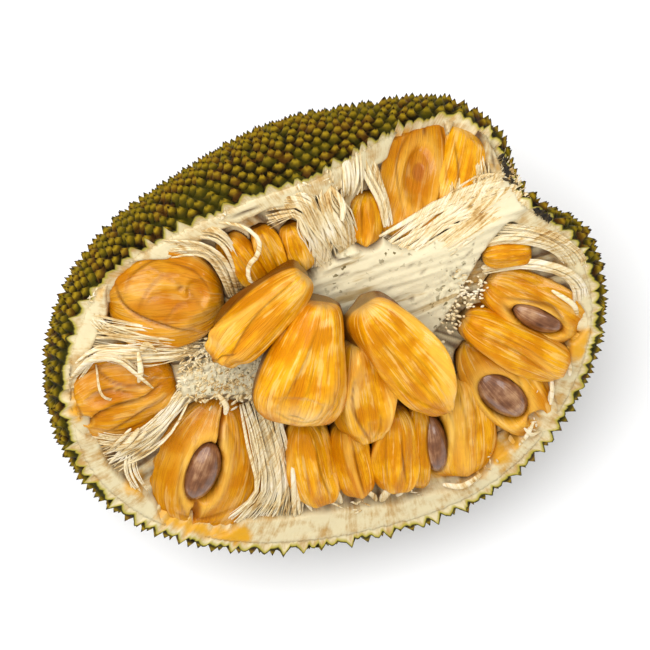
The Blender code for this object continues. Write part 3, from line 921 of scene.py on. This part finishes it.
# corners across the face, depth, width and drop, all in mm
LINES = {
    "bulb_upper_opened": (
        (((-93, 78), (-92, 68), (-85, 60), (-74, 52), (-62, 45)), 3.0, 0.9, -2.5),
        (((-91, 72), (-85, 80), (-75, 85), (-63, 88), (-53, 84)), 0.4, 1.0, -1.2),
        (((-75, 85), (-68, 79), (-59, 68), (-53, 52)), 0.4, 1.0, 0.8),
        (((-66, 86), (-52, 76), (-47, 58)), 0.6, 0.8, -1.0),
        (((-88, 62), (-80, 72), (-68, 78), (-58, 76)), 0.5, 0.9, 1.4),
        (((-76, 56), (-66, 62), (-54, 62)), 0.6, 0.8, 1.0), (((-64, 70), (-60, 70)), 1.6, 1.0, 0),
        (((-85, 66), (-76, 70), (-66, 66)), 0.3, 0.8, 0.5)),
    "bulb_tail_folded": (
        (((-131, 11), (-122, 18), (-108, 19), (-98, 19), (-88, 21)), 3.5, 1.0, -2.5),
        (((-129, 25), (-120, 28), (-111, 27), (-104, 22)), 2.0, 0.9, 1.5),
        (((-117, 41), (-114, 34), (-107, 28), (-95, 25), (-84, 26)), 1.0, 1.0, 1.2),
        (((-126, 3), (-109, 8), (-98, 12), (-87, 13)), 1.0, 0.9, -1.5),
        (((-130, 9), (-115, 2), (-98, 4)), 0.5, 0.9, -1.0),
        (((-130, 35), (-122, 38), (-105, 38)), 0.5, 0.8, 0.8),
        (((-134, 28), (-132, 20), (-134, 10)), 0.8, 0.9, 0.5)),
    "bulb_shoulder_pitted": (
        (((80, 93), (66, 88), (61, 79), (58, 62)), 0.6, 0.7, 0.8),
        (((92, 84), (90, 74), (82, 67), (74, 58)), 1.2, 0.8, 1.4), (((84, 89), (82, 86)), 1.5, 1.0, 0),
        (((68, 60), (70, 66)), 0.5, 0.6, 0.3), (((63, 62), (65, 70)), 0.4, 0.6, 0.3)),
    "bulb_shoulder_neighbour": (
        (((96, 78), (92, 68), (84, 60)), 0.8, 0.8, 1.0), (((88, 74), (84, 66)), 0.5, 0.7, -0.5)),
    "bulb_low_split": (
        (((-57, -6), (-56, -30), (-62, -55), (-76, -74)), 0.7, 0.8, -1.0),
        (((-88, -20), (-99, -45), (-100, -66)), 0.6, 0.8, 1.0),
        (((-78, -12), (-84, -24), (-93, -50)), 0.3, 0.8, 0.6),
        (((-64, -12), (-62, -28), (-66, -44)), 0.3, 0.7, 0.6),
        (((-104, -58), (-96, -66), (-84, -68), (-70, -66)), 0.8, 1.0, 1.2)),
    "bulb_low_3": (
        (((-22, -36), (-25, -58), (-24, -76)), 0.8, 0.6, 1.0),
        (((-31, -40), (-33, -60), (-36, -72)), 0.4, 0.6, -0.8)),
    "bulb_low_2": (
        (((-4, -44), (-6, -62), (-7, -78)), 1.0, 0.6, 1.0), (((-10, -50), (-12, -70)), 0.3, 0.5, 0.5)),
    "bulb_low_1": (
        (((16, -42), (10, -60), (6, -80)), 0.5, 0.6, -1.0),
        (((22, -48), (18, -64), (16, -80)), 1.0, 0.6, 1.0)),
    "bulb_stalk_whole": (
        (((74, -6), (90, -22), (104, -42)), 0.7, 0.7, 1.0),
        (((82, -6), (98, -24), (108, -40)), 0.4, 0.6, -0.6)),
    "bulb_upper_slim_1": ((((-24, 62), (-30, 86)), 0.6, 0.6, 0.8),),
    "bulb_upper_slim_2": ((((-11, 62), (-14, 86)), 0.6, 0.6, -0.8),),
    "bulb_deep_small": ((((34, 64), (40, 82)), 0.8, 0.7, 1.0),),
    "bulb_low_seeded": (
        (((56, -38), (56, -60), (50, -82)), 0.5, 0.8, -1.0),
        (((62, -44), (62, -60), (56, -78)), 0.4, 0.7, 0.8),
        (((48, -42), (49, -60), (44, -80)), 0.3, 0.7, 0.6)),
    "bulb_side_hooked": (
        (((70, -20), (88, -42), (86, -66)), 0.5, 0.8, 1.0),
        (((78, -20), (94, -44), (90, -62)), 0.4, 0.7, -0.7)),
    "bulb_stalk_arched": (
        (((92, 12), (112, -4), (122, -24)), 0.5, 0.8, 1.0), (((96, 16), (116, 2)), 0.3, 0.6, 0.5),
        (((94, 4), (106, -2), (117, -11), (121, -24)), 1.5, 1.0, 0),
        (((92, 2), (98, -9), (108, -22)), 1.5, 1.2, 0)),
}
SWELL = 1.5     # opened flesh stands this many mm out of the cut

for index, (name, seat) in enumerate(seated.items()):
    shape = {**SLIM, **SHAPES.get(name, {})}
    sink = float(face_height(seat.middle[0], seat.middle[1]) - seat.middle[2])
    sink = sink - (SWELL if "mouths" in shape else 0)
    form, local, values = bulb_form(seat, shape, 3.1 * index + 1)
    move_to(form, lay_in_face(seat, local, sink, values, LINES.get(name, ())))
    settle("flesh_" + name, form, [bulb_material], [name], values)

# %% [markdown]
# The four loose bulbs were pulled out whole. Each has a blunt base that sat on the core and broad
# folds, and three have a pinched tip. The one in the middle is worn pale at its tip.
# %% Loose bulbs
LOOSE_SHAPES = {
    "loose_bulb_left": dict(
        facets=(6, 1.35, 16), folds=0.04, blunt=(6, 3.6), left=(0.5, 0.85, 1.0, 1.02, 0.8),
        right=(0.6, 0.85, 1.0, 1.04, 0.85), nub=3, neck=0.14),
    "loose_bulb_middle": dict(
        facets=(8, 1.1, 6), folds=0.05, blunt=(7, 4.6), left=(0.5, 0.74, 0.96, 1.1, 1.0),
        right=(0.5, 0.72, 0.94, 1.1, 1.05), crown=(0.75, 1.0, 1.06, 0.9, 0.45)),
    "loose_bulb_right": dict(
        facets=(6, 1.1, 12), folds=0.04, blunt=(5, 3.0), left=(0.7, 0.95, 1.0, 1.02, 0.8),
        right=(0.75, 0.95, 1.04, 1.0, 0.75), nub=2.5, neck=0.08),
    "loose_bulb_under": dict(
        facets=(5, 1.3, 10), folds=0.04, blunt=(4, 3.0), left=(0.75, 0.95, 1.05, 1.05, 0.95),
        right=(0.75, 0.95, 1.0, 1.0, 0.8), nub=2, neck=0.1),
}
LOOSE_LINES = {
    "loose_bulb_left": (
        (((-31, -5), (0, -7), (33, 2)), 0.5, 0.6, 1.2), (((-8, 8), (12, 9), (33, 3)), 0.4, 0.6, -0.9),
        (((20, 0), (28, -3), (35, -1)), 0.8, 0.6, 0.8)),
    "loose_bulb_middle": (
        (((-24, -3), (0, -7), (26, -13)), 0.4, 0.7, 1.0), (((-22, 5), (0, 9), (25, 15)), 0.4, 0.7, -1.0),
        (((26, -13), (31, 0), (26, 14)), 0.7, 0.7, 1.0), (((6, 13), (16, 16), (27, 13)), 0.5, 0.6, 0.8),
        (((12, 18), (20, 20), (28, 16)), 0.5, 0.6, 0.8), (((10, 8), (20, 10), (27, 8)), 0.4, 0.5, 0.6),
        (((27, -5), (28, 4)), 1.4, 0.5, 0), (((17, -16), (14, 0), (17, 15)), 0.1, 0.8, -1.2),
        (((-10, 0), (8, 0), (24, -3)), 0.2, 0.6, 0.6)),
    "loose_bulb_right": (
        (((-28, -3), (0, -1), (32, 3)), 0.4, 0.7, 1.2), (((0, -9), (14, -9), (32, -1)), 0.5, 0.6, 1.0),
        (((-10, 6), (10, 8), (28, 6)), 0.3, 0.6, -0.8)),
    "loose_bulb_under": (
        (((-20, -5), (4, -7), (29, 0)), 1.2, 0.7, 1.6), (((6, 6), (18, 6), (29, 1)), 0.6, 0.6, -1.2),
        (((14, 0), (24, 1)), 0.4, 0.5, 0.6)),
}
for index, (name, seat) in enumerate(loose.items()):
    form, local, values = bulb_form(seat, LOOSE_SHAPES[name], 7.7 * index + 2)
    if name == "loose_bulb_middle":
        worn = np.exp(-((local[:, 0] - 27) / 7) ** 2 - (local[:, 1] / 11) ** 2) * values["top"]
        values["base"] = np.maximum(values["base"], 2 * worn)
    move_to(form, lay_in_space(seat, local, values, LOOSE_LINES[name]))
    settle("flesh_" + name, form, [bulb_material], [name], values)

# %% [markdown]
# ## The seeds
#
# A jackfruit seed is a smooth brown bean in a thin skin. It is a little flat, rounder at one end, and
# has a pale scar where it hung. Fine veins run round it.
# %% Seeds
def seed_finish():
    finish = Finish("seed_skin")
    grain = finish.value("grain", vector=True)
    vein = finish.noise(finish.stretch(grain, (1, 1, 0.6)), 7, 4, 0.65, 0.6)
    patch = finish.noise(finish.fruit_place(), 110, 3)
    brown = finish.ramp(vein * 0.4 + patch * 0.6, (0.34, "4A2812"), (0.5, "7E5030"), (0.64, "B48A62"))
    # painted shade: the seed's lower sides darken to near-black brown
    colour = finish.layers(brown, (finish.value("flank").rise(0.45, 0.9) * 0.8, "2A1204"),
                           (finish.value("base"), "E9D3A8"))
    bump = finish.bump(vein, 0.15, 0.0004)
    return finish.apply(Base_Color=colour, Roughness=0.3, Normal=bump, Specular_IOR_Level=0.3,
                        Coat_Weight=0.6, Coat_Roughness=0.12)


seed_material = seed_finish()
SEED = dict(folds=0.02, facets=(5, 0.25, 0), blunt=(2.1, 2.2), left=(0.95, 1, 0.9), right=(0.9, 1, 0.95))
for index, (name, seat) in enumerate(seeds.items()):
    form, local, values = bulb_form(seat, SEED, 11.3 * index + 4)
    values["base"] = smooth((values["grain"][:, 2] / GRAIN_ALONG - 0.93) / 0.05)
    move_to(form, lay_in_space(seat, local, values))
    settle(name + "_coat", form, [seed_material], [name], values)

# %% [markdown]
# ## The rags
#
# White fibres fill the space between the bulbs: bulbs that never grew. They spring from the core
# and fan out into the rind. They are drawn as curves with a flat section, because a curve needs only a few
# points for a long bent ribbon. Each bundle gives the line that its strands follow, in mm across the cut
# face, and how far they spread. Every strand arches above the face in between.
# %% Strand tools
RIBBON = 0.5        # half the width of a ribbon of radius 1
RIBBON_EDGE = 0.25  # and how far it bulges around its edges


def add_strand(curve, points, width, tilt):
    """One ribbon, thin at its ends, through the points."""
    spline = curve.splines.new("POLY")
    spline.points.add(len(points) - 1)
    t = np.linspace(0, 1, len(points))
    taper = width * (0.35 + 0.65 * np.sin(np.pi * t) ** 0.5)
    for point, spot, radius, lean in zip(spline.points, points, taper, tilt):
        point.co = (*spot, 1)
        point.radius = radius
        point.tilt = lean


def new_curve(name):
    curve = bpy.data.curves.new(name, "CURVE")
    curve.dimensions = "3D"
    curve.bevel_depth = RIBBON_EDGE
    curve.bevel_resolution = 0
    curve.extrude = RIBBON
    curve.use_fill_caps = True
    return curve


def curve_to_drawing(curve):
    holder = bpy.data.objects.new(curve.name, curve)
    mesh = bpy.data.meshes.new_from_object(holder)
    bm = bmesh.new()
    bm.from_mesh(mesh)
    bpy.data.objects.remove(holder)
    bpy.data.meshes.remove(mesh)
    return bm


# %% [markdown]
# The fibres are off-white, slightly see-through, and stained tan in places.
# %% The fibres' finish
def rag_finish():
    finish = Finish("rag_fibre")
    place = finish.fruit_place()
    tone = finish.noise(place, 60, 3)
    line = finish.noise(finish.stretch(finish.value("ray", vector=True), (1, 0.05, 0)), 0.7, 4, 0.7)
    fine = finish.noise(place, 600, 2)
    colour = finish.ramp(tone * 0.35 + line * 0.55 + fine * 0.1,
                         (0.36, "94662A"), (0.43, "C6A264"), (0.5, "E0CDA0"), (0.6, "EEE2C8"))
    bump = finish.bump(fine, 0.15, 0.0004)
    return finish.apply(Base_Color=colour, Roughness=0.45, Normal=bump, Specular_IOR_Level=0.2,
                        Subsurface_Weight=0.05, Subsurface_Radius=(1.0, 0.8, 0.55), Subsurface_Scale=0.002)


rag_material = rag_finish()


def settle_tissue(name, drawing, finish=rag_material):
    settle(name, drawing, [finish], ["husk"], {"ray": rays(places(drawing))})


# %% Fibre bundles
# line across the face, strands, spread at its start, spread at its end, lift in mm, width
BUNDLES = {
    "rags_upper_left": (
        (((-64, 34), (-88, 46), (-118, 55)), 34, 5, 13, 5, 0.9),
        (((-60, 33), (-84, 44), (-106, 58), (-110, 72)), 10, 2, 4, 3, 0.9),
        (((-72, 29), (-90, 40), (-112, 47), (-129, 37)), 9, 2, 5, 5, 1.1)),
    "rags_over_tail": (
        (((-130, 37), (-118, 46), (-104, 44), (-97, 33), (-93, 24)), 7, 1.5, 2, 10, 1.1),
        (((-94, 42), (-96, 36), (-97, 29)), 4, 1.5, 1.5, 7, 1.0),
        (((-116, 40), (-118, 30), (-112, 20)), 3, 0.8, 1, 9, 0.7)),
    "rags_lower_left": (
        (((-77, 12), (-96, 1), (-114, -4), (-131, 3)), 18, 3, 4, 5, 1.0),
        (((-78, 8), (-95, -3), (-112, -9), (-128, -14)), 20, 3, 9, 4, 1.0),
        (((-112, -8), (-118, -22), (-116, -40)), 9, 3, 4, 2, 0.8)),
    "rags_lower_middle": (
        (((-50, -8), (-52, -30), (-57, -60), (-76, -76)), 20, 3, 6, 5, 1.1),
        (((-45, -15), (-47, -39), (-51, -63), (-64, -79)), 20, 3, 6, 3, 1.1),
        (((-38, -18), (-41, -42), (-43, -66), (-50, -83)), 18, 3, 7, 3, 1.1)),
    "rags_upper_right": (
        (((-66, 92), (-46, 90), (-38, 78), (-37, 55)), 16, 5, 2.5, 6, 1.3),
        (((-46, 97), (-35, 94), (-31, 81), (-32, 58)), 12, 3, 2, 6, 1.2)),
    "rags_curtain": (
        (((-8, 97), (9, 95), (12, 83), (13, 70), (8, 56)), 30, 9, 5, 4, 1.4),
        (((12, 100), (15, 84), (19, 70), (20, 58)), 12, 4, 4, 4, 1.1),
        (((22, 101), (20, 91), (21, 79), (24, 67), (27, 60)), 20, 5, 4, 4, 1.3),
        (((30, 101), (26, 92), (29, 80), (30, 62)), 18, 6, 3, 3, 1.3),
        (((41, 106), (40, 96), (36, 86)), 10, 5, 5, 3, 1.2)),
    "rags_shoulder": (
        (((48, 104), (49, 90), (50, 76), (49, 62)), 16, 4, 2.5, 3, 1.3),
        (((106, 70), (99, 58), (92, 48)), 12, 5, 4, 1.5, 1.3),
        (((93, 71), (88, 62), (80, 54)), 8, 3, 3, 2, 1.0)),
    "stalk_fibres": (
        (((48, 44), (76, 53), (100, 56), (120, 57)), 60, 13, 5, 2.0, 1.7),
        (((70, 38), (90, 48), (108, 54), (122, 56)), 16, 6, 3, 1.5, 1.4)),
    "rags_stalk_side": (
        (((98, 44), (117, 36), (129, 25), (135, 12), (134, 0)), 20, 3, 5, 3, 1.1),
        (((90, 37), (104, 37), (118, 31), (128, 20), (133, 5)), 14, 2, 3, 4, 1.1),
        (((88, 22), (109, 20), (127, 9), (133, -4), (131, -18)), 22, 2.5, 4, 4, 1.2)),
}


STRAND_POINTS = 10
FULLNESS = 1.1      # strands made for each one in the table


def bundle(curve, line, count, spread_start, spread_end, lift, width):
    corners = np.asarray(line, float)
    heading = unit(np.diff(corners, axis=0))
    heading = np.vstack((heading[:1], (heading[:-1] + heading[1:]) / 2, heading[-1:]))
    sideways = np.stack((-heading[:, 1], heading[:, 0]), 1)
    spread = np.linspace(spread_start, spread_end, len(corners))
    for _ in range(round(count * FULLNESS)):
        lane = dice.uniform(-1, 1)
        wander = np.array([dice.gauss(0, 0.2) for _ in corners])
        shift = sideways * ((lane + wander) * spread)[:, None]
        stretch = heading * dice.uniform(-1, 1) * 0.12 * spread_end
        path = trail(corners + shift + stretch, STRAND_POINTS)
        t = np.linspace(0, 1, STRAND_POINTS)
        bow = np.sin(np.pi * t)
        arch = lift * dice.uniform(0.25, 1.0) * bow ** 0.8 - 1.6 * (1 - bow) - 0.8
        tilt = np.linspace(dice.uniform(-0.7, 0.7), dice.uniform(-0.7, 0.7), STRAND_POINTS) + math.pi / 2
        thickness = width * (0.35 + 1.1 * dice.uniform(0, 1) ** 2)
        add_strand(curve, on_face(path[:, 0], path[:, 1], arch), thickness, tilt)


for name, lines in BUNDLES.items():
    curve = new_curve(name)
    for line in lines:
        bundle(curve, *line)
    settle_tissue(name, curve_to_drawing(curve))

# %% [markdown]
# Torn strips stand up where a bulb or a handful of rags was pulled away: wide ribbons, each with
# its own line, which gives x, y and the height above the face.
# %% Torn strips
STRIPS = (
    (((-20, -86, -2), (-21, -76, 2), (-25, -64, 5)), 2.6),
    (((-2, -92, -2), (-3, -84, 3), (-7, -78, 5)), 2.0), (((0, -93, -2), (4, -86, 3), (12, -77, 6)), 3.2),
    (((9, -93, -2), (13, -87, 3), (18, -81, 5)), 2.6),
    (((-36, -52, 5), (-38, -64, 4), (-36, -73, 2), (-25, -81, 2), (-20, -89, -1)), 1.0),
    (((-46, -84, -1), (-43, -71, 3), (-40, -58, 6), (-37, -45, 7)), 2.0),
    (((-43, -84, -1), (-40, -66, 4), (-38, -52, 6)), 1.8),
    (((-36, -84, -1), (-38, -70, 4), (-37, -56, 6)), 1.5),
    (((-122, -8, 1), (-114, -3, 5), (-106, 4, 7)), 2.2),
    (((-120, -11, 1), (-111, -5, 5), (-103, 1, 7)), 2.0),
    (((-124, -6, 1), (-117, 0, 5), (-110, 5, 6)), 1.6),
    (((-93, 44, 5), (-95, 36, 9), (-98, 29, 6)), 2.2), (((-92, 44, 5), (-87, 48, 8), (-84, 43, 9)), 2.6),
    (((-131, 38, 0), (-119, 47, 7), (-105, 45, 9), (-97, 34, 9), (-92, 24, 7)), 2.0),
    (((112, -40, 0), (116, -46, 3), (115, -52, 4)), 2.0),
    (((106, -51, 0), (104, -58, 3), (101, -66, 3)), 1.8),
    (((79, -86, 0), (85, -79, 3), (90, -72, 4)), 1.6), (((92, -82, 0), (87, -80, 3), (84, -74, 4)), 1.4),
    (((-34, 100, -1), (-22, 96, 4), (-16, 88, 8), (-19, 80, 9), (-25, 75, 8), (-27, 67, 8), (-23, 61, 7)),
     1.8),
    (((119, 0, 2), (127, -10, 5), (128, -18, 4)), 2.0),
    (((34, -94, 0), (44, -97, 3), (56, -94, 2)), 2.4), (((-62, 5, 1), (-60, -2, 3), (-62, -8, 2)), 2.2),
    (((27, 98, 0), (30, 88, 4), (27, 80, 5)), 2.4),
)
STRIP_POINTS = 14
curve = new_curve("torn_strips")
for line, width in STRIPS:
    path = trail(line, STRIP_POINTS)
    tilt = np.linspace(dice.uniform(1.2, 1.9), dice.uniform(1.2, 1.9), STRIP_POINTS)
    add_strand(curve, on_face(path[:, 0], path[:, 1], path[:, 2]), width, tilt)
settle_tissue("torn_strips", curve_to_drawing(curve))

# %% [markdown]
# The ends of the core are crumbly: soft scales stand on edge between pits, which the bed's finish
# paints dark brown as shade. Each scale is a ball of twenty faces, drawn out long and flat and turned
# its own way, and several hundred of them make the crumbs. The dry dark bits beside the stalk are made in
# the same way.
# %% Crumbs
def scatter(name, spots, count, length, width, lean, finish, height):
    """Scales around each spot (x, y, radius), as many as count says for a radius of 10 mm. Lean says
    how strongly they point away from the core and up, and height is in mm above the face."""
    whole = bmesh.new()
    for x, y, radius in spots:
        bm = bmesh.new()
        for _ in range(round(count * (radius / 10) ** 2)):
            px, py = x + dice.gauss(0, radius * 0.5), y + dice.gauss(0, radius * 0.5)
            spot = on_face(px, py, height * dice.uniform(-0.5, 1.3))
            spot = Vector(spot * min(1, (skin(unit(spot)) - FOOT) / np.linalg.norm(spot)))
            away = Vector((px - 15, py - core_line(px), 0)).normalized() * lean[0]
            heading = Vector([dice.gauss(0, 0.7) for _ in range(3)]) + away + Vector((0, 0, lean[1]))
            size = length * dice.uniform(0.5, 1.3)
            scale = Matrix.Diagonal((width * dice.uniform(0.6, 1.3), width * 0.5, size, 1))
            place = Matrix.Translation(spot) @ heading.to_track_quat("Z", "Y").to_matrix().to_4x4() @ scale
            bmesh.ops.create_icosphere(bm, subdivisions=1, radius=0.5, matrix=place)
        mesh = bpy.data.meshes.new("crumbs")
        bm.to_mesh(mesh)
        bm.free()
        whole.from_mesh(mesh)
        bpy.data.meshes.remove(mesh)
    settle_tissue(name, whole, finish)


def dry_finish():
    finish = Finish("dry_bract")
    tone = finish.noise(finish.fruit_place(), 300, 3)
    brown = finish.layers(rgb("1C1408"), (tone.rise(0.4, 0.65), "4A3A1C"))
    return finish.apply(Base_Color=brown, Roughness=0.8)


RIM_CRUMBS = (
    (-61, -2, 4), (-68, 46, 5), (96, -46, 4), (112, -48, 5), (100, -62, 5), (88, -76, 5), (60, -88, 5),
    (20, -92, 5), (-12, -88, 6), (-108, 76, 5), (30, 101, 5), (14, 101, 6), (-30, 102, 5),
)
BRACTS = ((117, 62, 2.2), (121, 59, 1.6), (129, 47, 2.2), (132, 43, 2.2))
towards_tail = [spot for spot in CRUMBLY if spot[0] < 0]
towards_stalk = [spot for spot in CRUMBLY if spot[0] > 0]
scatter("core_crumbs", towards_tail, 75, 5.0, 1.7, (0.9, 0.5), rag_material, 0.3)
scatter("stalk_side_crumbs", towards_stalk, 45, 3.2, 1.6, (1.4, 0.1), rag_material, -0.1)
scatter("rim_crumbs", RIM_CRUMBS, 22, 5.0, 1.3, (0, 0.2), rag_material, 0.4)
scatter("stalk_bracts", BRACTS, 900, 5.0, 2.0, (0.6, 0.4), dry_finish(), 1.0)

# %% [markdown]
# ## The floor, the light and the camera
#
# Cut fruit looks best in soft, even light, which shows its colours without hard shadows. The floor is a
# pale sheet, and a large soft lamp hangs above it. A small one in front makes the moist flesh
# shine, and the sky around is a plain white that grows brighter upwards.
# %% Floor
floor = bmesh.new()
bmesh.ops.create_grid(floor, x_segments=1, y_segments=1, size=4)
floor_mesh = bpy.data.meshes.new("floor")
floor.to_mesh(floor_mesh)
floor.free()
floor_mesh.materials.append(Finish("pale_floor").apply(Base_Color=(0.96, 0.96, 0.96), Roughness=0.9))
add_object("floor", floor_mesh)
print("floor is", round(2 * max(vert.co.x for vert in floor_mesh.vertices), 1), "m wide")

# %% Lights
def soft_light(name, spot, size, power):
    lamp = bpy.data.lights.new(name, "AREA")
    lamp.shape = "DISK"
    lamp.size = size
    lamp.energy = power
    holder = add_object(name, lamp)
    holder.location = spot
    holder.rotation_mode = "QUATERNION"
    holder.rotation_quaternion = (middle - Vector(spot)).to_track_quat("-Z", "Y")
    print(name, "is", round((middle - Vector(spot)).length, 2), "m away")


soft_light("key_light", (-0.4, 0.35, 1.6), 2.0, 27)
soft_light("fill_light", (1.0, -0.9, 1.4), 0.7, 6)
world = bpy.data.worlds.new("studio")
world.use_nodes = True
nodes, links = world.node_tree.nodes, world.node_tree.links
direction = nodes.new("ShaderNodeTexCoord")
parts = nodes.new("ShaderNodeSeparateXYZ")
glow = nodes.new("ShaderNodeMapRange")
glow.inputs["From Min"].default_value, glow.inputs["From Max"].default_value = 0.0, 0.9
glow.inputs["To Min"].default_value, glow.inputs["To Max"].default_value = 0.25, 0.9
links.new(direction.outputs["Generated"], parts.inputs[0])
links.new(parts.outputs["Z"], glow.inputs["Value"])
links.new(glow.outputs[0], nodes["Background"].inputs["Strength"])
nodes["Background"].inputs["Color"].default_value = (1, 1, 1, 1)
bpy.context.scene.world = world
bpy.context.scene.view_settings.view_transform = "Standard"

# %% [markdown]
# The camera looks down from almost overhead, 31 degrees from square to the leaning cut face. It is
# turned about its own axis, so that the fruit runs up to the right. A long lens keeps it from looking
# swollen.
# %% Camera
VIEW_TILT = math.radians(31)
ROLL_SINE, ROLL_COSINE = 0.3206, 0.9472     # of the 18.7 degrees that the fruit runs uphill
AIM_RIGHT, AIM_UP = 0.0002, 0.0056      # metres from the fruit's middle to where the camera looks
DISTANCE = 2.0
VIEW_WIDTH = 0.341
SENSOR = 36
turn = FRUIT.to_3x3().normalized()
towards_camera = turn @ Vector((0, math.sin(VIEW_TILT), math.cos(VIEW_TILT)))
uphill = Vector((0, math.cos(VIEW_TILT), -math.sin(VIEW_TILT)))
view_up = turn @ (Vector((1, 0, 0)) * ROLL_SINE + uphill * ROLL_COSINE)
view_right = view_up.cross(towards_camera)
lens = bpy.data.cameras.new("camera")
lens.sensor_width = SENSOR
lens.lens = SENSOR * DISTANCE / VIEW_WIDTH
lens.clip_end = 20
camera = add_object("camera", lens)
look_at = middle + view_right * AIM_RIGHT + view_up * AIM_UP
camera.matrix_world = Matrix.Translation(look_at + towards_camera * DISTANCE) @ Matrix(
    (view_right, view_up, towards_camera)).transposed().to_4x4()
bpy.context.scene.camera = camera
print("lens:", round(lens.lens), "mm")
